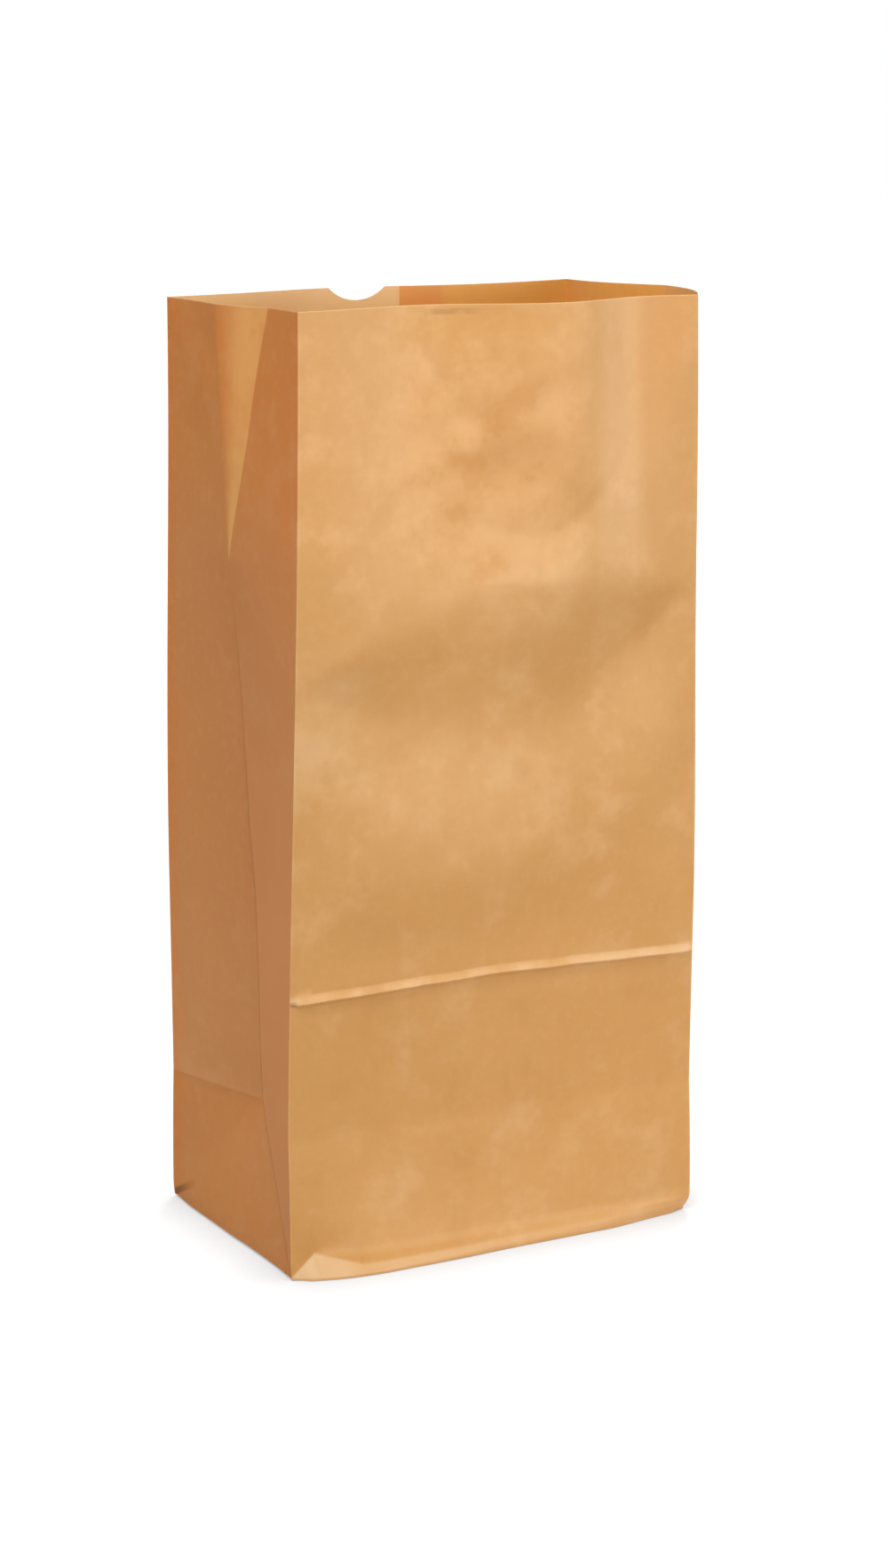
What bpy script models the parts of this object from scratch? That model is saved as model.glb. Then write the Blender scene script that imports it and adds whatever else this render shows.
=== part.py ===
# Paper lunch bag: one sheet of kraft paper, folded and glued into an open bag that stands by itself
# Metres, +Z up, origin in the middle of the underside, front panel towards -Y
import math

import bmesh
import bpy
from mathutils import Matrix, Vector

# Size of the opened bag, outside
BAG_WIDTH = 0.1302
BAG_DEPTH = 0.0794
BAG_HEIGHT = 0.2699
PAPER_THICKNESS = 0.0001

# Thumb notch in the rim of the rear panel
NOTCH_WIDTH = 0.0180
NOTCH_DEPTH = 0.0043
NOTCH_CENTRE = -0.0032

# Glued lap that closes the tube, down the rear panel and on under the bag
LAP_EDGE = 0.0094
LAP_WIDTH = 0.0127

# How far the two long bottom flaps lie over each other
FLAP_OVERLAP = 0.0254

# Height of the fold across the front panel, and how far it stands out
FRONT_FOLD_HEIGHT = 0.0798
FRONT_FOLD_RIDGE = 0.0011
FRONT_FOLD_REACH = 0.0050

# Fold across the rear panel and the rear half of each gusset, level with the gusset's apex
REAR_FOLD_RIDGE = 0.0009
REAR_FOLD_REACH = 0.0060

# Gussets: how far the apex is pushed in, and where the middle fold is flat again
APEX_PUSH = 0.0110
LEFT_FLAT_HEIGHT = 0.1990
RIGHT_RIM_BULGE = 0.0116
RIGHT_RIM_SWING = 0.0034
PUSH_FADE_POWER = 1.5

# Flat facet that the left gusset's middle fold opens into below the rim
FACET_TIP_HEIGHT = 0.1990
FACET_REAR = 0.0035
FACET_FRONT = -0.0190
FACET_REAR_RISE = 0.0026
FACET_FRONT_SINK = 0.0020

# Heights of the half waves that the rim makes along each panel, outward positive
FRONT_RIM_WAVES = (0.0002, -0.0034, -0.0024, 0.0024)
REAR_RIM_WAVES = (0.0018, -0.0028, -0.0016, 0.0006)
LEFT_RIM_WAVES = (0.0000, -0.0006, -0.0004)
RIM_WAVE_REACH = 0.1500

# The four upright folds: how far each stands from its true corner at the base and at the rim,
# the heights between which it passes from one to the other, and how much its lowest end is crushed
UPRIGHT_FOLDS = {
    "front_left": {
        "foot": (0.0005, 0.0005, 0), "rim": (0.0043, -0.0013, 0.0003), "bend": (0.000, 0.280), "crush": 0.0003
    },
    "front_right": {
        "foot": (0.0004, -0.0013, 0), "rim": (-0.0006, 0.0000, 0.0005), "bend": (0.090, 0.200), "crush": 0.0014
    },
    "rear_right": {
        "foot": (0.0010, 0.0004, 0), "rim": (0.0007, 0.0010, -0.0001), "bend": (0.140, 0.260), "crush": 0.0006
    },
    "rear_left": {
        "foot": (-0.0013, 0.0013, 0), "rim": (0.0000, -0.0024, -0.0009), "bend": (0.100, 0.270), "crush": 0.0003
    },
}

# Belly of the broad panels above the base, and the flare where they turn under it: how far the lower
# edge stands out at its left and right ends seen from outside, and the flare's part of that
FRONT_FOOT_BOW = (0.0070, 0.0048)
FRONT_FOOT_FLARE = 0.0018
REAR_FOOT_BOW = (0.0030, 0.0034)
REAR_FOOT_FLARE = 0.0010
BELLY_REACH = 0.0340
BELLY_RUN = 0.0300
FLARE_HEIGHT = 0.0050
FLARE_RUN = 0.0060

# Pinch of the front panel's lower edge beside its left corner
PINCH_RISE = 0.0016
PINCH_PLACE = 0.0110
PINCH_SPREAD = 0.0110

# Level waves of the front panel, from the rim down: height of the crest or hollow where it turns, where
# that is along the panel, how it curves away from there and how far it stands out
FRONT_WAVES = (
    (BAG_HEIGHT, 0.50, 0.0000, 0.0000),
    (0.1935, 0.66, -0.0550, 0.0026),
    (0.1510, 0.42, 0.1100, -0.0012),
    (0.1110, 0.33, 0.0720, 0.0018),
    (0.0850, 0.50, 0.0000, 0.0000),
)
WAVE_RUN = 0.0200

# Dent in the upper half of the front panel, with a swell above it
DENT_PLACE = 0.51
DENT_SPREAD = 0.21
DENT_TOP_HEIGHT = 0.2570
DENT_FLOOR_HEIGHT = 0.2080
DENT_LOW_HEIGHT = 0.1920
DENT_SWELL = 0.0015
DENT_SINK = -0.0020

# Soft buckles of the rear panel: place along the panel from its left end, height, half length,
# half height, slope of its crest and how far it stands out
REAR_BUCKLES = (
    (0.40, 0.1650, 0.0380, 0.0160, 0.30, 0.0018),
    (0.68, 0.1180, 0.0340, 0.0150, -0.20, 0.0014),
)

# Spacing of the lines along which the walls can bend
PANEL_PITCH = 0.0100
GUSSET_PITCH = 0.0100
ROW_PITCH = 0.0100

KRAFT_COLOUR = (0.60, 0.33, 0.135, 1.0)
KRAFT_ROUGHNESS = 0.78

# Sizes that follow from the ones above
HALF_WIDTH = BAG_WIDTH / 2
HALF_DEPTH = BAG_DEPTH / 2
APEX_HEIGHT = HALF_DEPTH
FLAP_LENGTH = HALF_DEPTH + FLAP_OVERLAP / 2
BASE_STEPS = 2
BASE_LEVEL = BASE_STEPS * PAPER_THICKNESS
ON_PLANE = 1e-6


def clear_scene():
    for obj in list(bpy.data.objects):
        bpy.data.objects.remove(obj, do_unlink=True)


def kraft_paper():
    material = bpy.data.materials.new("kraft_paper")
    material.use_nodes = True
    shader = material.node_tree.nodes["Principled BSDF"]
    shader.inputs["Base Color"].default_value = KRAFT_COLOUR
    shader.inputs["Roughness"].default_value = KRAFT_ROUGHNESS
    shader.inputs["Metallic"].default_value = 0.0
    return material


def even_steps(start, end, pitch):
    """Places between start and end, evenly spaced and no further apart than pitch"""
    count = max(1, math.ceil((end - start) / pitch))
    return [start + (end - start) * i / count for i in range(1, count)]


def smooth_step(value, start, end):
    t = min(1.0, max(0.0, (value - start) / (end - start)))
    return t * t * (3 - 2 * t)


def tent(distance, reach):
    return max(0.0, 1 - abs(distance) / reach)


def half_waves(s, heights):
    return sum(height * math.sin((i + 1) * math.pi * s) for i, height in enumerate(heights))


def buckle(s, z, length, place):
    along, height, half_length, half_height, slope, rise = place
    x = (s - along) * length
    crest = z - height - slope * x
    return rise * math.exp(-(x / half_length) ** 2 - (crest / half_height) ** 2)


def score(bm, faces, point, normal):
    """Cut one straight fold line into some of the flat sheet's faces"""
    edges = {edge for face in faces for edge in face.edges}
    verts = {vert for face in faces for vert in face.verts}
    bmesh.ops.bisect_plane(
        bm, geom=list(faces) + list(edges) + list(verts), dist=ON_PLANE, plane_co=point, plane_no=normal
    )


def faces_where(bm, test):
    return [face for face in bm.faces if test(face.calc_center_median())]


def on_front(p):
    return abs(p.y + HALF_DEPTH) < ON_PLANE


def on_rear(p):
    return abs(p.y - HALF_DEPTH) < ON_PLANE


def on_left(p):
    return abs(p.x + HALF_WIDTH) < ON_PLANE


def on_right(p):
    return abs(p.x - HALF_WIDTH) < ON_PLANE


def on_base(p):
    return abs(p.z) < ON_PLANE


def open_box(bm):
    """The tube and its base before they are bent: a box with no lid"""
    size = Matrix.Diagonal((BAG_WIDTH, BAG_DEPTH, BAG_HEIGHT, 1.0))
    bmesh.ops.create_cube(bm, size=1.0, matrix=Matrix.Translation((0, 0, BAG_HEIGHT / 2)) @ size)
    lid = faces_where(bm, lambda p: abs(p.z - BAG_HEIGHT) < ON_PLANE)
    bmesh.ops.delete(bm, geom=lid, context="FACES")


def wall_rows():
    """Heights of the level lines, from the base to the rim"""
    fold_low = FRONT_FOLD_HEIGHT - FRONT_FOLD_REACH
    fold_high = FRONT_FOLD_HEIGHT + FRONT_FOLD_REACH
    rows = [FLARE_HEIGHT / 2, FLARE_HEIGHT, APEX_HEIGHT - REAR_FOLD_REACH, APEX_HEIGHT]
    rows += [APEX_HEIGHT + REAR_FOLD_REACH, fold_low, FRONT_FOLD_HEIGHT, fold_high]
    rows += even_steps(FLARE_HEIGHT, APEX_HEIGHT - REAR_FOLD_REACH, ROW_PITCH)
    rows += even_steps(APEX_HEIGHT + REAR_FOLD_REACH, fold_low, ROW_PITCH)
    rows += even_steps(fold_high, BAG_HEIGHT, ROW_PITCH)
    return [z for z in rows if 0 < z < BAG_HEIGHT]


def score_walls(bm):
    up = Vector((0, 0, 1))
    across = Vector((1, 0, 0))
    along = Vector((0, 1, 0))
    for z in wall_rows():
        score(bm, faces_where(bm, lambda p: not on_base(p)), (0, 0, z), up)
    panel_lines = even_steps(-HALF_WIDTH, HALF_WIDTH, PANEL_PITCH)
    for x in panel_lines:
        score(bm, faces_where(bm, on_front), (x, 0, 0), across)
    clear_of_lap = [x for x in panel_lines if abs(x - LAP_EDGE) > PANEL_PITCH / 3]
    clear_of_lap = [x for x in clear_of_lap if abs(x - LAP_EDGE - LAP_WIDTH) > PANEL_PITCH / 3]
    for x in clear_of_lap + [LAP_EDGE, LAP_EDGE + LAP_WIDTH]:
        score(bm, faces_where(bm, on_rear), (x, 0, 0), across)
    for y in even_steps(-HALF_DEPTH, 0, GUSSET_PITCH) + [0] + even_steps(0, HALF_DEPTH, GUSSET_PITCH):
        score(bm, faces_where(bm, lambda p: on_left(p) or on_right(p)), (0, y, 0), along)


def score_gussets(bm):
    """Diagonal folds from the apex to the bottom corners, and the facet under the left rim"""
    for side in (-1, 1):
        def below_apex(p):
            return (on_left(p) or on_right(p)) and p.z < APEX_HEIGHT and p.y * side > 0
        score(bm, faces_where(bm, below_apex), (0, 0, APEX_HEIGHT), (0, APEX_HEIGHT, side * HALF_DEPTH))
    rise = BAG_HEIGHT - FACET_TIP_HEIGHT
    for rim_place in (FACET_REAR, FACET_FRONT):
        above_tip = faces_where(bm, lambda p: on_left(p) and p.z > FACET_TIP_HEIGHT)
        score(bm, above_tip, (0, 0, FACET_TIP_HEIGHT), (0, rise, -rim_place))


def score_base(bm):
    """Outlines of the flaps that make the base"""
    for x_side in (-1, 1):
        for y_side in (-1, 1):
            corner = (x_side * HALF_WIDTH, y_side * HALF_DEPTH, 0)
            score(bm, faces_where(bm, on_base), corner, (x_side, -y_side, 0))
    score(bm, faces_where(bm, on_base), (0, FLAP_LENGTH - HALF_DEPTH, 0), (0, 1, 0))
    for x in (FLAP_LENGTH - HALF_WIDTH, HALF_WIDTH - FLAP_LENGTH, LAP_EDGE, LAP_EDGE + LAP_WIDTH):
        score(bm, faces_where(bm, on_base), (x, 0, 0), (1, 0, 0))


def apex_share(z):
    """How much of the gusset's push a height below the apex has"""
    return min(1.0, z / APEX_HEIGHT)


def left_push(z):
    """How far the left gusset's middle fold is pushed in"""
    t = min(1.0, max(0.0, (z - APEX_HEIGHT) / (LEFT_FLAT_HEIGHT - APEX_HEIGHT)))
    return APEX_PUSH * (1 - t ** PUSH_FADE_POWER)


def right_push(z):
    """The right gusset is pushed in at its apex and bulges out at the rim"""
    t = max(0.0, (z - APEX_HEIGHT) / (BAG_HEIGHT - APEX_HEIGHT))
    return APEX_PUSH - (APEX_PUSH + RIGHT_RIM_BULGE) * t ** PUSH_FADE_POWER


def upright_fold(name, z):
    """A corner of the bag at one height: the gusset draws the panels together as it folds"""
    fold = UPRIGHT_FOLDS[name]
    x_side = -1 if name.endswith("left") else 1
    y_side = -1 if name.startswith("front") else 1
    push = (left_push(z) if x_side < 0 else right_push(z)) * apex_share(z)
    half_depth = math.sqrt(HALF_DEPTH ** 2 - push ** 2)
    corner = Vector((x_side * HALF_WIDTH, y_side * half_depth, z + BASE_LEVEL * (1 - z / BAG_HEIGHT)))
    crush = fold["crush"] * tent(z, FLARE_HEIGHT) ** 2
    corner -= Vector((x_side * crush, y_side * crush, 0))
    return corner + Vector(fold["foot"]).lerp(Vector(fold["rim"]), smooth_step(z, *fold["bend"]))


def rim_rise(z):
    return smooth_step(z, BAG_HEIGHT - RIM_WAVE_REACH, BAG_HEIGHT)


def off_corner(s):
    return 1.0 if 0 < s < 1 else 0.0


def foot(s, z, bow, flare):
    """Belly of a broad panel above its lower edge, and the short flare of the edge"""
    left_bow, right_bow = bow
    from_corner = min(s, 1 - s) * BAG_WIDTH
    belly = (left_bow + (right_bow - left_bow) * s - flare) * smooth_step(from_corner, 0, BELLY_RUN)
    edge = flare * smooth_step(from_corner, 0, FLARE_RUN)
    return belly * tent(z, BELLY_REACH) ** 2 + edge * tent(z, FLARE_HEIGHT)


def pinch(s, z):
    """Extra flare close to the front panel's left corner"""
    x = s * BAG_WIDTH
    along = math.exp(-((x - PINCH_PLACE) / PINCH_SPREAD) ** 2) * smooth_step(x, 0, FLARE_RUN)
    return PINCH_RISE * along * tent(z, FLARE_HEIGHT)


def between(z, high, high_offset, low, low_offset):
    return low_offset + (high_offset - low_offset) * smooth_step(z, low, high)


def level_waves(s, z):
    lines = [(height + curve * (s - turn) ** 2, stand) for height, turn, curve, stand in FRONT_WAVES]
    for (high, high_offset), (low, low_offset) in zip(lines, lines[1:]):
        if low < z <= high:
            return between(z, high, high_offset, low, low_offset)
    return 0.0


def upper_dent(s, z):
    bell = math.exp(-((s - DENT_PLACE) / DENT_SPREAD) ** 2)
    if z > DENT_TOP_HEIGHT:
        return bell * between(z, BAG_HEIGHT, 0.0, DENT_TOP_HEIGHT, DENT_SWELL)
    if z > DENT_FLOOR_HEIGHT:
        return bell * between(z, DENT_TOP_HEIGHT, DENT_SWELL, DENT_FLOOR_HEIGHT, DENT_SINK)
    return bell * between(z, DENT_FLOOR_HEIGHT, DENT_SINK, DENT_LOW_HEIGHT, 0.0)


def front_offset(s, z):
    ease = smooth_step(min(s, 1 - s) * BAG_WIDTH, 0, WAVE_RUN)
    offset = half_waves(s, FRONT_RIM_WAVES) * rim_rise(z) + (level_waves(s, z) + upper_dent(s, z)) * ease
    offset += FRONT_FOLD_RIDGE * tent(z - FRONT_FOLD_HEIGHT, FRONT_FOLD_REACH) * off_corner(s)
    return offset + foot(s, z, FRONT_FOOT_BOW, FRONT_FOOT_FLARE) + pinch(s, z)


def rear_offset(s, z):
    offset = half_waves(s, REAR_RIM_WAVES) * rim_rise(z)
    offset += sum(buckle(s, z, BAG_WIDTH, place) for place in REAR_BUCKLES) * math.sin(math.pi * s)
    offset += REAR_FOLD_RIDGE * tent(z - APEX_HEIGHT, REAR_FOLD_REACH) * off_corner(s)
    return offset + foot(s, z, REAR_FOOT_BOW, REAR_FOOT_FLARE)


def gusset_fold(s, z, push):
    """Middle fold and diagonals: two flat halves above the apex, three flat facets below it"""
    from_corner = 1 - abs(2 * s - 1)
    return -push * min(from_corner, apex_share(z))


def gusset_rear_ridge(z, rear_share):
    return REAR_FOLD_RIDGE * tent(z - APEX_HEIGHT, REAR_FOLD_REACH) * math.sin(math.pi * rear_share)


def left_facet(y, z):
    """Offset of the flat facet under the left rim"""
    share = (z - FACET_TIP_HEIGHT) / (BAG_HEIGHT - FACET_TIP_HEIGHT)
    if share <= 0:
        return 0.0
    rear_edge = FACET_REAR * share
    front_edge = FACET_FRONT * share
    if y >= rear_edge:
        return FACET_REAR_RISE * share * (HALF_DEPTH - y) / (HALF_DEPTH - rear_edge)
    if y <= front_edge:
        return -FACET_FRONT_SINK * share * (y + HALF_DEPTH) / (front_edge + HALF_DEPTH)
    across = (rear_edge - y) / (rear_edge - front_edge)
    return share * (FACET_REAR_RISE - across * (FACET_REAR_RISE + FACET_FRONT_SINK))


def left_offset(s, z):
    """From the rear corner to the front one"""
    y = HALF_DEPTH - s * BAG_DEPTH
    offset = gusset_fold(s, z, left_push(z)) + left_facet(y, z)
    offset += half_waves(s, LEFT_RIM_WAVES) * rim_rise(z)
    return offset + gusset_rear_ridge(z, max(0.0, 1 - 2 * s))


def right_offset(s, z):
    """From the front corner to the rear one"""
    offset = gusset_fold(s, z, right_push(z))
    offset += RIGHT_RIM_SWING * math.sin(2 * math.pi * s) * rim_rise(z)
    return offset + gusset_rear_ridge(z, max(0.0, 2 * s - 1))


def wall_point(start, end, s, z, offset):
    """A point of a wall between two upright folds, moved out from the straight line between them"""
    s = min(1.0, max(0.0, s))
    a = upright_fold(start, z)
    b = upright_fold(end, z)
    outward = Vector((b.y - a.y, a.x - b.x, 0)).normalized()
    return a.lerp(b, s) + outward * offset(s, z)


def bend_sheet(bm):
    """Move every point of the flat box to its place on the folded bag"""
    for vert in bm.verts:
        p = vert.co.copy()
        if on_front(p):
            share = (HALF_WIDTH + p.x) / BAG_WIDTH
            vert.co = wall_point("front_left", "front_right", share, p.z, front_offset)
        elif on_right(p):
            share = (HALF_DEPTH + p.y) / BAG_DEPTH
            vert.co = wall_point("front_right", "rear_right", share, p.z, right_offset)
        elif on_rear(p):
            share = (HALF_WIDTH - p.x) / BAG_WIDTH
            vert.co = wall_point("rear_right", "rear_left", share, p.z, rear_offset)
        elif on_left(p):
            share = (HALF_DEPTH - p.y) / BAG_DEPTH
            vert.co = wall_point("rear_left", "front_left", share, p.z, left_offset)
        else:
            vert.co.z = BASE_LEVEL


def add_ply(bm, test, move):
    """Glue one more thickness of paper on the faces that pass the test"""
    bm.normal_update()
    faces = [face for face in bm.faces if test(face.calc_center_median(), face.normal)]
    made = bmesh.ops.extrude_face_region(bm, geom=faces)["geom"]
    verts = [item for item in made if isinstance(item, bmesh.types.BMVert)]
    bmesh.ops.delete(bm, geom=faces, context="FACES")
    for vert in verts:
        vert.co += move


def under_front_flap(p):
    return abs(p.x) < HALF_WIDTH - (p.y + HALF_DEPTH) and p.y < FLAP_LENGTH - HALF_DEPTH


def under_rear_flap(p):
    return abs(p.x) < HALF_WIDTH - (HALF_DEPTH - p.y) and not under_front_flap(p)


def add_base_flaps(bm):
    """Underneath, the rear flap lies on the side flaps and the front flap on both; inside, the
    side flaps lie on top"""
    ply = Vector((0, 0, PAPER_THICKNESS))

    def rear_or_front_flap(p, normal):
        return normal.z < -0.9 and (under_front_flap(p) or under_rear_flap(p))

    def front_flap(p, normal):
        return normal.z < -0.9 and under_front_flap(p)

    def side_flap(p, normal):
        return normal.z > 0.9 and p.z < BASE_LEVEL + 2 * PAPER_THICKNESS and abs(p.x) > HALF_WIDTH - FLAP_LENGTH

    add_ply(bm, rear_or_front_flap, -ply)
    add_ply(bm, front_flap, -ply)
    add_ply(bm, side_flap, ply)


def add_lap(bm):
    """The glued lap, one more ply on the outside of the rear panel"""
    def on_lap(p, normal):
        return LAP_EDGE < p.x < LAP_EDGE + LAP_WIDTH and p.y > 0 and p.z > BASE_LEVEL and normal.y > 0.5

    add_ply(bm, on_lap, Vector((0, PAPER_THICKNESS, 0)))


def bag_sheet():
    """The folded sheet as one solid, before its notch is cut"""
    bm = bmesh.new()
    open_box(bm)
    score_walls(bm)
    score_gussets(bm)
    score_base(bm)
    bmesh.ops.triangulate(bm, faces=bm.faces[:], quad_method="BEAUTY", ngon_method="BEAUTY")
    bend_sheet(bm)
    bmesh.ops.recalc_face_normals(bm, faces=bm.faces[:])
    bmesh.ops.solidify(bm, geom=bm.faces[:], thickness=PAPER_THICKNESS)
    add_base_flaps(bm)
    add_lap(bm)
    bmesh.ops.recalc_face_normals(bm, faces=bm.faces[:])
    mesh = bpy.data.meshes.new("paper_bag")
    bm.to_mesh(mesh)
    bm.free()
    return mesh


def notch_cutter():
    """Round cutter whose lower arc leaves the thumb notch"""
    radius = (NOTCH_WIDTH ** 2 / 4 + NOTCH_DEPTH ** 2) / (2 * NOTCH_DEPTH)
    bm = bmesh.new()
    centre = Vector((NOTCH_CENTRE, HALF_DEPTH, BAG_HEIGHT - NOTCH_DEPTH + radius))
    lying = Matrix.Translation(centre) @ Matrix.Rotation(math.pi / 2, 4, "X")
    bmesh.ops.create_cone(
        bm, cap_ends=True, segments=96, radius1=radius, radius2=radius, depth=HALF_DEPTH, matrix=lying
    )
    mesh = bpy.data.meshes.new("notch_cutter")
    bm.to_mesh(mesh)
    bm.free()
    cutter = bpy.data.objects.new("notch_cutter", mesh)
    bpy.context.collection.objects.link(cutter)
    cutter.hide_render = True
    cutter.display_type = "WIRE"
    return cutter


def paper_bag():
    bag = bpy.data.objects.new("paper_bag", bag_sheet())
    bpy.context.collection.objects.link(bag)
    bag.data.materials.append(kraft_paper())
    notch = bag.modifiers.new("thumb_notch", "BOOLEAN")
    notch.operation = "DIFFERENCE"
    notch.solver = "EXACT"
    notch.object = notch_cutter()
    return bag


clear_scene()
paper_bag()
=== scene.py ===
import math

import bmesh
import bpy
from mathutils import Matrix, Vector, noise


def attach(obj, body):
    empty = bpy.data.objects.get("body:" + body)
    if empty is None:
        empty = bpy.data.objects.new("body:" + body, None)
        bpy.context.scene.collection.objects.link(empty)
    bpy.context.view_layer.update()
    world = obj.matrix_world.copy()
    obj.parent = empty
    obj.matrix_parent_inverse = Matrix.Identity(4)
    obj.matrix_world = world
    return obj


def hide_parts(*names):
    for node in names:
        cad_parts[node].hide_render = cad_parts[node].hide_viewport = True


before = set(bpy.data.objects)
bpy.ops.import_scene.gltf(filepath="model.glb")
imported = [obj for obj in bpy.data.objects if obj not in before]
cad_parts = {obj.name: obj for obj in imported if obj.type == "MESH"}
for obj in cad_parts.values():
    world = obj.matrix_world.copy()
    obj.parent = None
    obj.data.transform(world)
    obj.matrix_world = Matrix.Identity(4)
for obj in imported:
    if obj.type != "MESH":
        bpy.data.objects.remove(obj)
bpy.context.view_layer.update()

# the opened bag, metres, outside
bag = {
    "width": 0.1302,
    "depth": 0.0794,
    "height": 0.2699,
    "paper": 0.0001,
    "pitch": 0.0026,  # spacing of the upright lines along which the paper can bend
    "rowPitch": 0.0027,  # and of the level ones
    "sharpAngle": 24,  # edges that turn more than this stay crisp
}
halfWidth = bag["width"] / 2
halfDepth = bag["depth"] / 2
apexHeight = halfDepth  # where the folds of a gusset meet
onPlane = 1e-6

# how straight a face points: up or down on the base flaps, to the rear on the lap, and inwards
facing = {"level": 0.9, "rear": 0.5, "inwards": 0.3}

# glued parts
glue = {
    "lapEdge": 0.0094,
    "lapWidth": 0.0127,
    "flapLength": halfDepth + 0.0127,
    "flapStep": 0.00028,  # the flaps lie a little loose, so their edges show
    "floorStep": 0.00015,
}

notch = {"width": 0.0180, "depth": 0.0043, "centre": -0.0032, "segments": 160}

frontFold = {
    "height": 0.0798,
    "rise": 0.0011,
    "above": 0.0022,
    "below": 0.0013,
    "swell": 0.0004,
    "spread": 0.0110,
    "nickShade": 0.0008,  # painted shade of a small dent in the fold, here right of the front left fold
}
rearFold = {"rise": 0.0008, "above": 0.0030, "below": 0.0012}

gusset = {
    "apexPush": 0.0110,
    "leftFlat": 0.1990,
    "rightBulge": 0.0116,
    "rightSwing": 0.0034,
    "fade": 1.5,
    "rearSoftness": 0.65,
    "rearRidge": 0.4,  # the level crease there, as a share of the rear panel's
}

# the flat facet that the left gusset opens into below the rim
facet = {"tip": 0.1990, "rear": 0.0035, "front": -0.0190, "rearRise": 0.0026, "frontSink": 0.0020}

# half waves of the rim along each panel, outwards positive
rimWaves = {
    "front": (0.0002, -0.0034, -0.0024, 0.0024),
    "rear": (0.0018, -0.0028, -0.0016, 0.0006),
    "left": (0.0000, -0.0006, -0.0004),
    "reach": 0.1500,
}

uprightFolds = {
    "frontLeft": {"side": (-1, -1), "foot": (0.0005, 0.0005, 0), "rim": (0.0043, -0.0013, 0.0003),
                  "bend": (0.000, 0.280), "crush": 0.0003},
    "frontRight": {"side": (1, -1), "foot": (0.0004, -0.0013, 0), "rim": (-0.0006, 0.0000, 0.0005),
                   "bend": (0.090, 0.200), "crush": 0.0014},
    "rearRight": {"side": (1, 1), "foot": (0.0010, 0.0004, 0), "rim": (0.0007, 0.0010, -0.0001),
                  "bend": (0.140, 0.260), "crush": 0.0006},
    "rearLeft": {"side": (-1, 1), "foot": (-0.0013, 0.0013, 0), "rim": (0.0000, -0.0024, -0.0009),
                 "bend": (0.100, 0.270), "crush": 0.0003},
}

# the walls belly out above the base and flare where they turn under it: bow at the left and right ends
# seen from outside, and the flare
footing = {
    "bellyReach": 0.0340,
    "bellyRun": 0.0300,  # how far from a corner the belly is full
    "front": {"bow": (0.0070, 0.0048), "flare": 0.0018},
    "rear": {"bow": (0.0030, 0.0034), "flare": 0.0010},
    "flareHeight": 0.0050,
    "flareRun": 0.0060,
}

# the pinched corner at the lower left of the front
pinch = {
    "rise": 0.0016,
    "place": 0.0110,
    "spread": 0.0110,
    "slope": 0.93,
    "top": 0.0066,
    "run": 0.0220,
    "edge": 0.0050,
}

# soft buckles of the rear panel: share along it, height, half length, half height, slope of the crest, rise
rearBuckles = (
    (0.40, 0.1650, 0.0380, 0.0160, 0.30, 0.0018),
    (0.68, 0.1180, 0.0340, 0.0150, -0.20, 0.0014),
)

# level waves of the front panel from the rim down: height at its turning point, that point's share along the
# panel, how the line curves away from it, and how far the paper stands out there
frontWaves = (
    (0.2699, 0.50, 0.000, 0.0000),
    (0.1935, 0.66, -0.055, 0.0026),
    (0.1510, 0.42, 0.110, -0.0012),
    (0.1110, 0.33, 0.072, 0.0018),
    (0.0850, 0.50, 0.000, 0.0000),
)
frontDent = {
    "place": 0.49,
    "spread": 0.23,
    "top": 0.2570,
    "floor": 0.2080,
    "fade": 0.0160,
    "stand": 0.0015,
    "sink": -0.0021,
}
frontGroove = {
    "place": 0.86,
    "height": 0.2420,
    "curve": 24.0,
    "half": 0.0038,
    "depth": 0.0002,
    "start": (0.190, 0.205),
}

# small swellings under the dent: share along the panel, height, half length, half height, slope, rise
frontLumps = (
    (0.455, 0.1950, 0.0065, 0.0050, 0.20, 0.0006),
    (0.590, 0.1930, 0.0060, 0.0045, -0.10, 0.0006),
    (0.560, 0.1400, 0.0060, 0.0040, -0.60, 0.0004),
)

# fine unevenness of the sheet: wavelength and height, and more of it where it was held
crumple = ((0.045, 0.00080), (0.020, 0.00030), (0.009, 0.00008))
crumpleStart = (3.1, 7.7, 1.9)
handled = {"place": (-0.004, -0.0397, 0.232), "spread": 0.030, "wave": 0.012, "rise": 0.0016}

# the fold across the front isn't quite straight: its bow, small kinks along it and a ripple
foldLine = {
    "reach": 0.006,
    "bow": 0.0012,
    "kinks": ((0.29, 0.31, 0.00025), (0.60, 0.62, -0.0003)),
    "ripple": 0.00012,
    "ripples": 29,
}

# how far from an upright fold each form is at its full height
cornerEase = {"crease": 0.004, "waves": 0.020, "crumple": 0.012}

# where the front is painted paler: place, reach and strength; the last spot is painted light where the paper
# faces down under a level wave
paleSpots = (
    ((-0.008, -0.0397, 0.232), 0.060, 0.42),
    ((0.004, -0.0400, 0.194), 0.030, 0.50),
    ((-0.008, -0.0400, 0.138), 0.042, 0.30),
    ((-0.054, -0.0380, 0.158), 0.030, 0.40),
)


def smoothStep(value, start, end):
    t = min(1.0, max(0.0, (value - start) / (end - start)))
    return t * t * (3 - 2 * t)


def tent(distance, reach):
    return max(0.0, 1 - abs(distance) / reach)


def halfWaves(s, heights):
    return sum(height * math.sin((i + 1) * math.pi * s) for i, height in enumerate(heights))


def buckle(s, z, length, place):
    along, height, halfLength, halfHeight, slope, rise = place
    x = (s - along) * length
    crest = z - height - slope * x
    return rise * math.exp(-(x / halfLength) ** 2 - (crest / halfHeight) ** 2)


def ridge(z, height, rise, above, below):
    distance = z - height
    return rise * tent(distance, above if distance > 0 else below)


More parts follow.
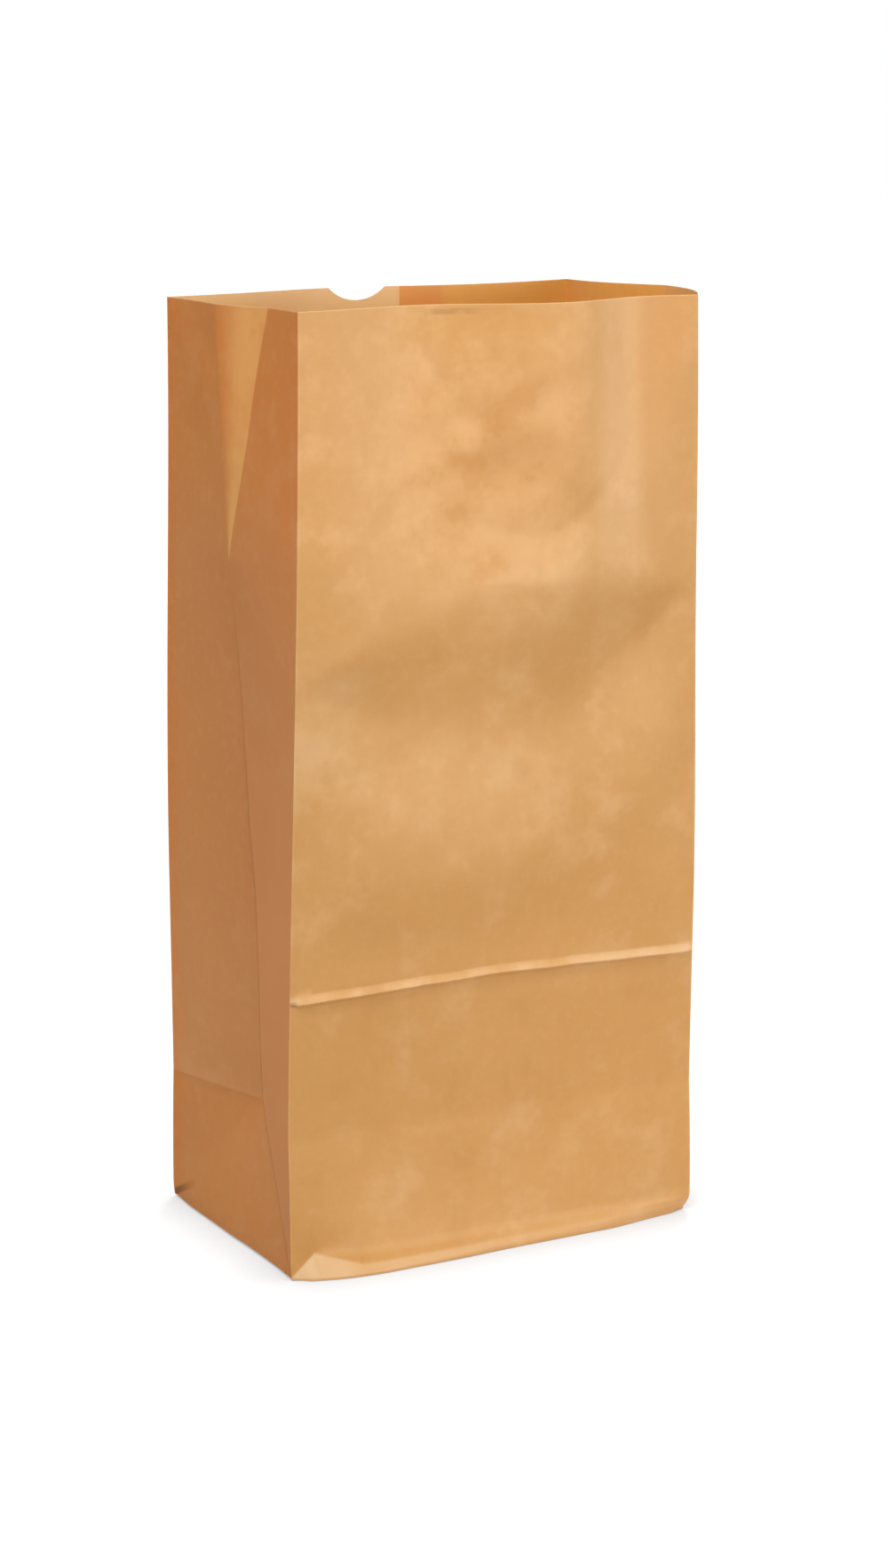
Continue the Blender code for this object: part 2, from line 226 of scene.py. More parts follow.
def evenSteps(start, end, pitch):
    count = max(1, math.ceil((end - start) / pitch))
    return [start + (end - start) * i / count for i in range(1, count)]


def facesWhere(bm, test):
    return [face for face in bm.faces if test(face.calc_center_median())]


def score(bm, faces, point, normal):  # one straight fold line across some faces
    edges = {edge for face in faces for edge in face.edges}
    verts = {vert for face in faces for vert in face.verts}
    bmesh.ops.bisect_plane(
        bm, geom=list(faces) + list(edges) + list(verts), dist=onPlane, plane_co=point, plane_no=normal
    )


def onFront(p):
    return abs(p.y + halfDepth) < onPlane


def onRear(p):
    return abs(p.y - halfDepth) < onPlane


def onLeft(p):
    return abs(p.x + halfWidth) < onPlane


def onRight(p):
    return abs(p.x - halfWidth) < onPlane


def onBase(p):
    return abs(p.z) < onPlane


def openBox(bm):
    size = Matrix.Diagonal((bag["width"], bag["depth"], bag["height"], 1.0))
    bmesh.ops.create_cube(bm, size=1.0, matrix=Matrix.Translation((0, 0, bag["height"] / 2)) @ size)
    lid = facesWhere(bm, lambda p: abs(p.z - bag["height"]) < onPlane)
    bmesh.ops.delete(bm, geom=lid, context="FACES")


def wallRows():
    height = frontFold["height"]
    low = height - frontFold["below"]
    high = height + frontFold["above"]
    rearLow = apexHeight - rearFold["below"]
    rearHigh = apexHeight + rearFold["above"]
    turn = footing["flareHeight"]
    rows = [turn * share for share in (0.2, 0.4, 0.6, 0.8, 1)]
    rows += [rearLow] + [apexHeight + rearFold["above"] * share for share in (0, 0.5, 1)]
    rows += [low] + [height + frontFold["above"] * share for share in (0, 0.35, 0.7, 1)]
    rows += evenSteps(turn, rearLow, bag["rowPitch"])
    rows += evenSteps(rearHigh, low, bag["rowPitch"])
    rows += evenSteps(high, bag["height"], bag["rowPitch"])
    return rows


def scoreWalls(bm):
    panelLines = evenSteps(-halfWidth, halfWidth, bag["pitch"])
    lapLines = (glue["lapEdge"], glue["lapEdge"] + glue["lapWidth"])
    rearLines = [x for x in panelLines if min(abs(x - line) for line in lapLines) > bag["pitch"] / 3]
    for x in panelLines:
        score(bm, facesWhere(bm, onFront), (x, 0, 0), (1, 0, 0))
    for x in rearLines + list(lapLines):
        score(bm, facesWhere(bm, onRear), (x, 0, 0), (1, 0, 0))
    gussetLines = evenSteps(-halfDepth, 0, bag["pitch"]) + [0] + evenSteps(0, halfDepth, bag["pitch"])
    for y in gussetLines:
        score(bm, facesWhere(bm, lambda p: onLeft(p) or onRight(p)), (0, y, 0), (0, 1, 0))
    for z in wallRows():
        whole = bm.faces[:] + bm.edges[:] + bm.verts[:]
        bmesh.ops.bisect_plane(bm, geom=whole, dist=onPlane, plane_co=(0, 0, z), plane_no=(0, 0, 1))


def scoreGussets(bm):
    for side in (-1, 1):
        def belowApex(p):
            return (onLeft(p) or onRight(p)) and p.z < apexHeight and p.y * side > 0
        score(bm, facesWhere(bm, belowApex), (0, 0, apexHeight), (0, apexHeight, side * halfDepth))
    rise = bag["height"] - facet["tip"]
    for rimPlace in (facet["rear"], facet["front"]):
        aboveTip = facesWhere(bm, lambda p: onLeft(p) and p.z > facet["tip"])
        score(bm, aboveTip, (0, 0, facet["tip"]), (0, rise, -rimPlace))


def scorePinch(bm):
    corner = facesWhere(bm, lambda p: onFront(p) and p.x < pinch["place"] - halfWidth and p.z < pinch["top"])
    score(bm, corner, (-halfWidth, 0, 0), (pinch["slope"], 0, -1))


def scoreBase(bm):
    for xSide in (-1, 1):
        for ySide in (-1, 1):
            corner = (xSide * halfWidth, ySide * halfDepth, 0)
            score(bm, facesWhere(bm, onBase), corner, (xSide, -ySide, 0))
    score(bm, facesWhere(bm, onBase), (0, glue["flapLength"] - halfDepth, 0), (0, 1, 0))
    sideFlapEdge = halfWidth - glue["flapLength"]
    for x in (-sideFlapEdge, sideFlapEdge, glue["lapEdge"], glue["lapEdge"] + glue["lapWidth"]):
        score(bm, facesWhere(bm, onBase), (x, 0, 0), (1, 0, 0))


def apexShare(z):
    return min(1.0, z / apexHeight)


def leftPush(z):
    t = min(1.0, max(0.0, (z - apexHeight) / (gusset["leftFlat"] - apexHeight)))
    return gusset["apexPush"] * (1 - t ** gusset["fade"])


def rightPush(z):
    t = max(0.0, (z - apexHeight) / (bag["height"] - apexHeight))
    return gusset["apexPush"] - (gusset["apexPush"] + gusset["rightBulge"]) * t ** gusset["fade"]


def uprightFold(name, z):  # the gusset draws the panels together as it folds
    fold = uprightFolds[name]
    xSide, ySide = fold["side"]
    push = (leftPush(z) if xSide < 0 else rightPush(z)) * apexShare(z)
    crush = fold["crush"] * tent(z, footing["flareHeight"]) ** 2
    corner = Vector((
        xSide * (halfWidth - crush),
        ySide * (math.sqrt(halfDepth ** 2 - push ** 2) - crush),
        z + 2 * glue["flapStep"] * (1 - z / bag["height"]),
    ))
    return corner + Vector(fold["foot"]).lerp(Vector(fold["rim"]), smoothStep(z, *fold["bend"]))


def rimRise(z):
    return smoothStep(z, bag["height"] - rimWaves["reach"], bag["height"])


def fromCorner(s, length):
    return min(s, 1 - s) * length


def pinchTop(x):  # the flare's upper crease climbs steeply away from the pinched corner, then sinks
    low = footing["flareHeight"]
    sinking = 1 - smoothStep(x, pinch["place"], pinch["run"])
    return min(x * pinch["slope"], low + (pinch["top"] - low) * sinking)


def foot(wall, s, z, length):
    form = footing[wall]
    left, right = form["bow"]
    away = fromCorner(s, length)
    belly = (left + (right - left) * s - form["flare"]) * smoothStep(away, 0, footing["bellyRun"])
    flare = form["flare"] * smoothStep(away, 0, footing["flareRun"])
    top = footing["flareHeight"]
    if wall == "front":
        x = s * length
        bell = math.exp(-((x - pinch["place"]) / pinch["spread"]) ** 2)
        flare += pinch["rise"] * bell * smoothStep(x, 0, pinch["edge"])
        top = pinchTop(x)
    return belly * tent(z, footing["bellyReach"]) ** 2 + (flare * tent(z, top) if top > 0 else 0.0)


def gussetFold(across, z, push, rearHalf):
    inward = 1 - abs(across)
    fold = min(inward, apexShare(z))
    if rearHalf:  # only softly bent there, the level crease takes up the fold
        fold += gusset["rearSoftness"] * (inward * apexShare(z) - fold)
    return -push * fold


def leftFacet(y, z):
    share = (z - facet["tip"]) / (bag["height"] - facet["tip"])
    if share <= 0:
        return 0.0
    rearEdge = facet["rear"] * share
    frontEdge = facet["front"] * share
    if y >= rearEdge:
        return facet["rearRise"] * share * (halfDepth - y) / (halfDepth - rearEdge)
    if y <= frontEdge:
        return -facet["frontSink"] * share * (y + halfDepth) / (frontEdge + halfDepth)
    across = (rearEdge - y) / (rearEdge - frontEdge)
    return share * (facet["rearRise"] - across * (facet["rearRise"] + facet["frontSink"]))


def fineRelief(p, s, length):  # the sheet is never quite flat, except along its folds
    ease = smoothStep(fromCorner(s, length), 0, cornerEase["crumple"])
    start = Vector(crumpleStart)
    relief = sum(rise * noise.noise(p / wave + start) for wave, rise in crumple)
    near = math.exp(-((p - Vector(handled["place"])).length / handled["spread"]) ** 2)
    relief += near * handled["rise"] * noise.noise(p / handled["wave"])
    return relief * ease


def between(z, high, highOffset, low, lowOffset):
    return lowOffset + (highOffset - lowOffset) * smoothStep(z, low, high)


def levelWaves(s, z):
    lines = [(height + curve * (s - turn) ** 2, stand) for height, turn, curve, stand in frontWaves]
    for (high, highOffset), (low, lowOffset) in zip(lines, lines[1:]):
        if low < z <= high:
            return between(z, high, highOffset, low, lowOffset)
    return 0.0


def upperDent(s, z):
    bell = math.exp(-((s - frontDent["place"]) / frontDent["spread"]) ** 2)
    top, floor = frontDent["top"], frontDent["floor"]
    if z > top:
        return bell * between(z, bag["height"], 0.0, top, frontDent["stand"])
    if z > floor:
        return bell * between(z, top, frontDent["stand"], floor, frontDent["sink"])
    return bell * between(z, floor, frontDent["sink"], floor - frontDent["fade"], 0.0)


def groove(s, z):
    drift = (z - frontGroove["height"]) ** 2 * frontGroove["curve"] / bag["width"]
    x = (s - frontGroove["place"] + drift) * bag["width"]
    bell = math.exp(-(x / frontGroove["half"]) ** 2)
    return -frontGroove["depth"] * bell * smoothStep(z, *frontGroove["start"])


def offCorner(s, form):
    return smoothStep(fromCorner(s, bag["width"]), 0, cornerEase[form])


def frontOffset(s, z):
    offset = halfWaves(s, rimWaves["front"]) * rimRise(z)
    offset += (levelWaves(s, z) + upperDent(s, z)) * offCorner(s, "waves") + groove(s, z)
    offset += sum(buckle(s, z, bag["width"], place) for place in frontLumps) * offCorner(s, "waves")
    swell = frontFold["swell"] * math.exp(-((z - frontFold["height"]) / frontFold["spread"]) ** 2)
    crease = ridge(z, frontFold["height"], frontFold["rise"], frontFold["above"], frontFold["below"])
    offset += (crease + swell) * offCorner(s, "crease")
    return offset + foot("front", s, z, bag["width"])


def rearOffset(s, z):
    offset = halfWaves(s, rimWaves["rear"]) * rimRise(z)
    offset += sum(buckle(s, z, bag["width"], place) for place in rearBuckles) * math.sin(math.pi * s)
    crease = ridge(z, apexHeight, rearFold["rise"], rearFold["above"], rearFold["below"])
    offset += crease * offCorner(s, "crease")
    return offset + foot("rear", s, z, bag["width"])


def gussetRearRidge(z, rearShare):
    rise = rearFold["rise"] * gusset["rearRidge"]
    return ridge(z, apexHeight, rise, rearFold["above"], rearFold["below"]) * math.sin(math.pi * rearShare)


def leftOffset(s, z):
    offset = gussetFold(2 * s - 1, z, leftPush(z), s < 0.5) + leftFacet(halfDepth - s * bag["depth"], z)
    return offset + halfWaves(s, rimWaves["left"]) * rimRise(z) + gussetRearRidge(z, max(0.0, 1 - 2 * s))


def rightOffset(s, z):
    offset = gussetFold(2 * s - 1, z, rightPush(z), s > 0.5)
    offset += gusset["rightSwing"] * math.sin(2 * math.pi * s) * rimRise(z)
    return offset + gussetRearRidge(z, max(0.0, 2 * s - 1))


def wallPoint(start, end, s, p, offset, length):
    s = min(1.0, max(0.0, s))
    a = uprightFold(start, p.z)
    b = uprightFold(end, p.z)
    outward = Vector((b.y - a.y, a.x - b.x, 0)).normalized()
    return a.lerp(b, s) + outward * (offset(s, p.z) + fineRelief(p, s, length))


def foldWander(s, z):
    near = math.exp(-((z - frontFold["height"]) / foldLine["reach"]) ** 2)
    wander = foldLine["bow"] + foldLine["ripple"] * math.sin(foldLine["ripples"] * s)
    wander += sum(kink * smoothStep(s, start, end) for start, end, kink in foldLine["kinks"])
    return near * wander * math.sin(math.pi * s)


# where a point of the box lies on the flat sheet: metres right of the front left fold, and up
def sheetPlace(centre, p):
    width, depth = bag["width"], bag["depth"]
    if onBase(centre):
        return p.x + halfWidth, -p.y - halfDepth
    if onFront(centre):
        return p.x + halfWidth, p.z
    if onRight(centre):
        return width + halfDepth + p.y, p.z
    if onRear(centre):
        return width + depth + halfWidth - p.x, p.z
    return 2 * width + depth + halfDepth - p.y, p.z


def layOut(bm):
    layer = bm.loops.layers.uv.new("sheetPlace")
    for face in bm.faces:
        centre = face.calc_center_median()
        for loop in face.loops:
            loop[layer].uv = sheetPlace(centre, loop.vert.co)


def bendSheet(bm):
    for vert in bm.verts:
        p = vert.co.copy()
        if onFront(p):
            share = (halfWidth + p.x) / bag["width"]
            vert.co = wallPoint("frontLeft", "frontRight", share, p, frontOffset, bag["width"])
            vert.co.z += foldWander(share, p.z)
        elif onRight(p):
            share = (halfDepth + p.y) / bag["depth"]
            vert.co = wallPoint("frontRight", "rearRight", share, p, rightOffset, bag["depth"])
        elif onRear(p):
            share = (halfWidth - p.x) / bag["width"]
            vert.co = wallPoint("rearRight", "rearLeft", share, p, rearOffset, bag["width"])
        elif onLeft(p):
            share = (halfDepth - p.y) / bag["depth"]
            vert.co = wallPoint("rearLeft", "frontLeft", share, p, leftOffset, bag["depth"])
        else:
            vert.co.z = 2 * glue["flapStep"]


def addPly(bm, test, move):
    bm.normal_update()
    faces = [face for face in bm.faces if test(face.calc_center_median(), face.normal)]
    made = bmesh.ops.extrude_face_region(bm, geom=faces)["geom"]
    verts = [item for item in made if isinstance(item, bmesh.types.BMVert)]
    bmesh.ops.delete(bm, geom=faces, context="FACES")
    for vert in verts:
        vert.co += move


def underFrontFlap(p):
    return abs(p.x) < halfWidth - (p.y + halfDepth) and p.y < glue["flapLength"] - halfDepth


def underRearFlap(p):
    return abs(p.x) < halfWidth - (halfDepth - p.y) and not underFrontFlap(p)


def addBaseFlaps(bm):
    baseTop = 4 * glue["flapStep"]
    sideFlapEdge = halfWidth - glue["flapLength"]

    def seenBelow(p, normal):
        return normal.z < -facing["level"] and p.z < baseTop

    def onEndFlap(p, normal):
        return seenBelow(p, normal) and (underFrontFlap(p) or underRearFlap(p))

    def onFrontFlap(p, normal):
        return seenBelow(p, normal) and underFrontFlap(p)

    def onSideFlap(p, normal):
        return normal.z > facing["level"] and p.z < baseTop and abs(p.x) > sideFlapEdge

    step = Vector((0, 0, glue["flapStep"]))
    addPly(bm, onEndFlap, -step)
    addPly(bm, onFrontFlap, -step)
    addPly(bm, onSideFlap, Vector((0, 0, glue["floorStep"])))


def addLap(bm):
    lapEnd = glue["lapEdge"] + glue["lapWidth"]

    def onLap(p, normal):
        upright = p.y > 0 and p.z > 2 * glue["flapStep"] and normal.y > facing["rear"]
        return upright and glue["lapEdge"] < p.x < lapEnd

    addPly(bm, onLap, Vector((0, bag["paper"], 0)))


def markInside(bm):  # the paper looks warmer from inside, where light comes through it
    layer = bm.faces.layers.float.new("inside")
    place = bm.loops.layers.uv["sheetPlace"]
    width, depth = bag["width"], bag["depth"]
    panelEnds = (width, width + depth, 2 * width + depth, math.inf)
    panelFaces = ((0, -1, 0), (1, 0, 0), (0, 1, 0), (-1, 0, 0))
    for face in bm.faces:
        u, v = sum((loop[place].uv for loop in face.loops), Vector((0, 0))) / len(face.loops)
        outward = next(faces for end, faces in zip(panelEnds, panelFaces) if u < end)
        if v < 0:
            outward = (0, 0, -1)
        face[layer] = 1.0 if face.normal.dot(Vector(outward)) < -facing["inwards"] else 0.0


def asObject(bm, name):
    mesh = bpy.data.meshes.new(name)
    bm.to_mesh(mesh)
    bm.free()
    piece = bpy.data.objects.new(name, mesh)
    bpy.context.collection.objects.link(piece)
    return piece


def notchCutter():
    radius = (notch["width"] ** 2 / 4 + notch["depth"] ** 2) / (2 * notch["depth"])
    centre = Vector((notch["centre"], halfDepth, bag["height"] - notch["depth"] + radius))
    bm = bmesh.new()
    lying = Matrix.Translation(centre) @ Matrix.Rotation(math.pi / 2, 4, "X")
    bmesh.ops.create_cone(
        bm,
        cap_ends=True,
        segments=notch["segments"],
        radius1=radius,
        radius2=radius,
        depth=halfDepth,
        matrix=lying,
    )
    return asObject(bm, "notchCutter")


def makeBag():
    bm = bmesh.new()
    openBox(bm)
    scoreWalls(bm)
    scoreGussets(bm)
    scorePinch(bm)
    scoreBase(bm)
    bmesh.ops.triangulate(bm, faces=bm.faces[:], quad_method="BEAUTY", ngon_method="BEAUTY")
    layOut(bm)
    bendSheet(bm)
    bmesh.ops.recalc_face_normals(bm, faces=bm.faces[:])
    bmesh.ops.solidify(bm, geom=bm.faces[:], thickness=bag["paper"])
    addBaseFlaps(bm)
    addLap(bm)
    bmesh.ops.recalc_face_normals(bm, faces=bm.faces[:])
    bm.normal_update()
    markInside(bm)
    print("sheet folded and glued")
    piece = asObject(bm, "kraftBag")
    cut = piece.modifiers.new("thumbNotch", "BOOLEAN")
    cut.operation = "DIFFERENCE"
    cut.solver = "EXACT"
    cut.object = notchCutter()
    whole = bpy.data.meshes.new_from_object(piece.evaluated_get(bpy.context.evaluated_depsgraph_get()))
    cutter = cut.object
    piece.modifiers.clear()
    piece.data = whole
    bpy.data.objects.remove(cutter, do_unlink=True)
    whole.shade_smooth()
    whole.set_sharp_from_angle(angle=math.radians(bag["sharpAngle"]))
    print("bag:", len(whole.polygons), "faces")
    return piece


class Wire:  # a socket that can be used in sums
    def __init__(self, finish, socket):
        self.finish = finish
        self.socket = socket

    def __add__(self, other):
        return self.finish.maths("ADD", self, other)

    __radd__ = __add__

    def __sub__(self, other):
        return self.finish.maths("SUBTRACT", self, other)

    def __rsub__(self, other):
        return self.finish.maths("SUBTRACT", other, self)

    def __mul__(self, other):
        return self.finish.maths("MULTIPLY", self, other)

    __rmul__ = __mul__

    def __truediv__(self, other):
        return self.finish.maths("DIVIDE", self, other)


class Finish:  # one material and the nodes in it
    def __init__(self, name):
        self.material = bpy.data.materials.new(name)
        self.material.use_nodes = True
        self.tree = self.material.node_tree
        self.shader = self.tree.nodes["Principled BSDF"]

    def node(self, kind, settings=None, inputs=None):
        made = self.tree.nodes.new(kind)
        for key, value in (settings or {}).items():
            setattr(made, key, value)
        for key, value in (inputs or {}).items():
            self.feed(made.inputs[key], value)
        return [Wire(self, output) for output in made.outputs]

    def feed(self, socket, value):
        if isinstance(value, Wire):
            self.tree.links.new(value.socket, socket)
        else:
            socket.default_value = value

    def set(self, name, value):
        self.feed(self.shader.inputs[name], value)

    def maths(self, operation, *values):
        return self.node("ShaderNodeMath", {"operation": operation}, dict(enumerate(values)))[0]

    def ramp(self, value, low, high, start=0.0, end=1.0):
        values = dict(enumerate((value, low, high, start, end)))
        return self.node("ShaderNodeMapRange", {"interpolation_type": "SMOOTHSTEP"}, values)[0]

    def tint(self, factor, first, second):
        return self.node("ShaderNodeMix", {"data_type": "RGBA"}, {0: factor, 6: first, 7: second})[2]


# colours as they are in the light
kraft = {
    "tone": (0.545, 0.284, 0.082, 1),
    "lowTone": (0.620, 0.302, 0.086, 1),
    "pale": (0.735, 0.430, 0.205, 1),
    "deep": (0.530, 0.250, 0.060, 1),
    "gussetShadeTone": (0.605, 0.240, 0.074, 1),  # painted shade: the gussets are painted redder, as the paper looks in shade
    "gussetTop": (0.590, 0.215, 0.046, 1),
    # painted light on the lower front of the gussets, which turns from the lamps
    "gussetFront": (0.730, 0.275, 0.086, 1),
    "gussetEdge": (0.680, 0.200, 0.040, 1),
    "facetTone": (0.760, 0.375, 0.120, 1),
    # painted light inside the bag, warmer and brighter than outside
    "insideTone": (0.740, 0.390, 0.100, 1),
    "insideRear": (0.900, 0.460, 0.140, 1),
    "insideLap": (0.980, 0.600, 0.340, 1),
    # wear, and painted highlight along the creases, the upright folds and the foot of the front
    "wearAndHighlight": (0.880, 0.570, 0.330, 1),
    # dark fibre flecks, and painted shade under the creases, along the gusset folds and in an inside corner
    "fleckAndShade": (0.300, 0.130, 0.045, 1),
    "tuckShade": (0.180, 0.060, 0.012, 1),
    "smudge": (0.370, 0.175, 0.050, 1),
}

# how strongly each mark shows
shows = {
    "gussetEdge": 0.50,
    "insideTone": 0.80,
    "mottle": 0.42,
    "mottleLessOnGussets": 0.65,
    "mottleLessOnRear": 0.45,
    "grain": 0.07,
    "fibreDark": 0.22,
    "fibrePale": 0.14,
    "insideRear": 0.80,
    "insideFold": 0.50,
    "insideGusset": 0.35,
    "handled": 0.40,
    "foldHighlightAndWear": 0.42,
    "foldShade": 0.06,
    "foldNickShade": 0.60,
    "backTone": 0.20,
    "backHighlightAndWear": 0.12,
    "backShade": 0.20,
    "backFoldOnGussets": 0.30,
    "cornerHighlightAndWear": 0.09,
    "gussetFolds": 0.40,
    "gussetRear": 0.14,
    "footHighlight": 0.38,
    "tuck": 0.85,
    "gussetFoot": 0.45,
    "rimWear": 0.35,
    "rimSmudge": 0.55,
}

# where a mark begins and where it is full, metres on the sheet or from a fold
markReach = {
    "lowTone": (0.030, 0.230),
    "gussetTop": (0.185, 0.250),
    "gussetEdge": (0.0330, 0.0375),
    "handled": (0.045, 0.015),
    "upperFront": (0.150, 0.235),
    "backTone": (0.0004, -0.0004),
    "cornerHighlightAndWear": (0.0009, 0.0002),
    "middleFold": (0.200, 0.150),
    "gussetFront": (0.200, 0.080),
    "gussetRear": (0.140, 0.060),
    "tuck": (0.0240, 0.0340),
    "gussetFoot": (0.022, 0.004),
    "rimWear": (0.0004, 0.0001),
}

# marks with two ends: where each end begins and is full
markBands = {
    "foldHighlightAndWear": ((-0.0007, -0.0001), (0.0031, 0.0009)),
    "foldShade": ((0.0000, -0.0005), (-0.0017, -0.0008)),
    "backHighlightAndWear": ((-0.0003, 0.0001), (0.0020, 0.0006)),
    "backShade": ((0.0000, -0.0004), (-0.0014, -0.0006)),
    "smudgeHeight": ((0.0008, 0.0014), (0.0030, 0.0024)),
    "smudgeLength": ((0.0410, 0.0460), (0.0590, 0.0530)),
}

# half the width of the narrow marks
markLines = {
    "insideFold": 0.0080,
    "nickHeight": 0.0011,
    "nickLength": 0.0015,
    "gussetFold": 0.0007,
    "tuck": 0.0018,
}

# painted shade and painted light in upright stripes below the rim of the front: share along the panel, half
# width, strength, colour
rimShadingStripes = (
    (0.910, 0.014, 0.55, "deep"),
    (0.790, 0.012, 0.20, "wearAndHighlight"),
)

# the pale facet: how soft its edges are, and where it fades across, as shares of its size
facetMark = {"rearEdge": 0.02, "tipEdge": 0.01, "fade": (1.15, 0.35)}

# the painted highlight along the foot of the front: it slopes down from a peak near the pinched corner, and
# shows more towards it
footMark = {
    "peak": 0.0066,
    "peakPlace": 0.0070,
    "slope": 0.30,
    "lowest": 0.0026,
    "overall": 0.4,
    "nearCorner": ((0.080, 0.022, 0.6), (0.0220, 0.0140, 0.5), (0.0075, 0.0060, 0.5)),
    "edge": 0.0006,
}

# the painted shade of the tucked rear corner slants up from just above the floor
tuckMark = {"slope": 0.5, "start": 0.0004}
cornerPaleFrom = 0.004  # the upright folds get painted highlight and wear from this height up

# noise in the paper: scale, detail and roughness
paperNoise = {
    "cloud": (26.0, 2.0, 0.50),
    "patch": (85.0, 3.0, 0.55),
    "grain": (330.0, 2.0, 0.50),
    "speck": (620.0, 2.0, 0.60),
    "fibre": (1.0, 3.0, 0.60),
}
fibreScale = (2600.0, 420.0, 1.0)  # the fibres lie mostly upright in the sheet
mottleMix = {"cloud": 0.4, "patch": 0.6}
bumpMix = {"fibre": 0.5, "speck": 0.3, "patch": 0.2}

# between which values of its noise a mark appears, and from what to what it goes if not from 0 to 1
noiseRange = {
    "uneven": (0.35, 0.65, 0.45, 1.25),
    "mottlePale": (0.50, 0.70),
    "mottleDeep": (0.48, 0.32),
    "grainPale": (0.50, 0.68),
    "grainDeep": (0.48, 0.32),
    "fibreDark": (0.62, 0.78),
    "fibrePale": (0.36, 0.24),
    "facet": (0.25, 0.60, 0.55, 1.0),
    "paleSpots": (0.38, 0.60, 0.55, 1.0),
    "handled": (0.47, 0.36),
    "gussetFoot": (0.40, 0.62),
    "smudge": (0.40, 0.56, 0.35, 1.0),
}

# gloss and the light that comes through, the same all over
throughout = {
    "Subsurface Weight": 0.5,
    "Subsurface Radius": (1.0, 0.85, 0.65),
    "Subsurface Scale": 0.0004,
    "Specular IOR Level": 0.62,
    "Specular Tint": (1.0, 0.84, 0.62, 1),
}
paperRoughness = {"panels": 0.40, "gussets": 0.90, "uneven": 0.12}
paperBump = {"Strength": 0.12, "Distance": 0.0004}


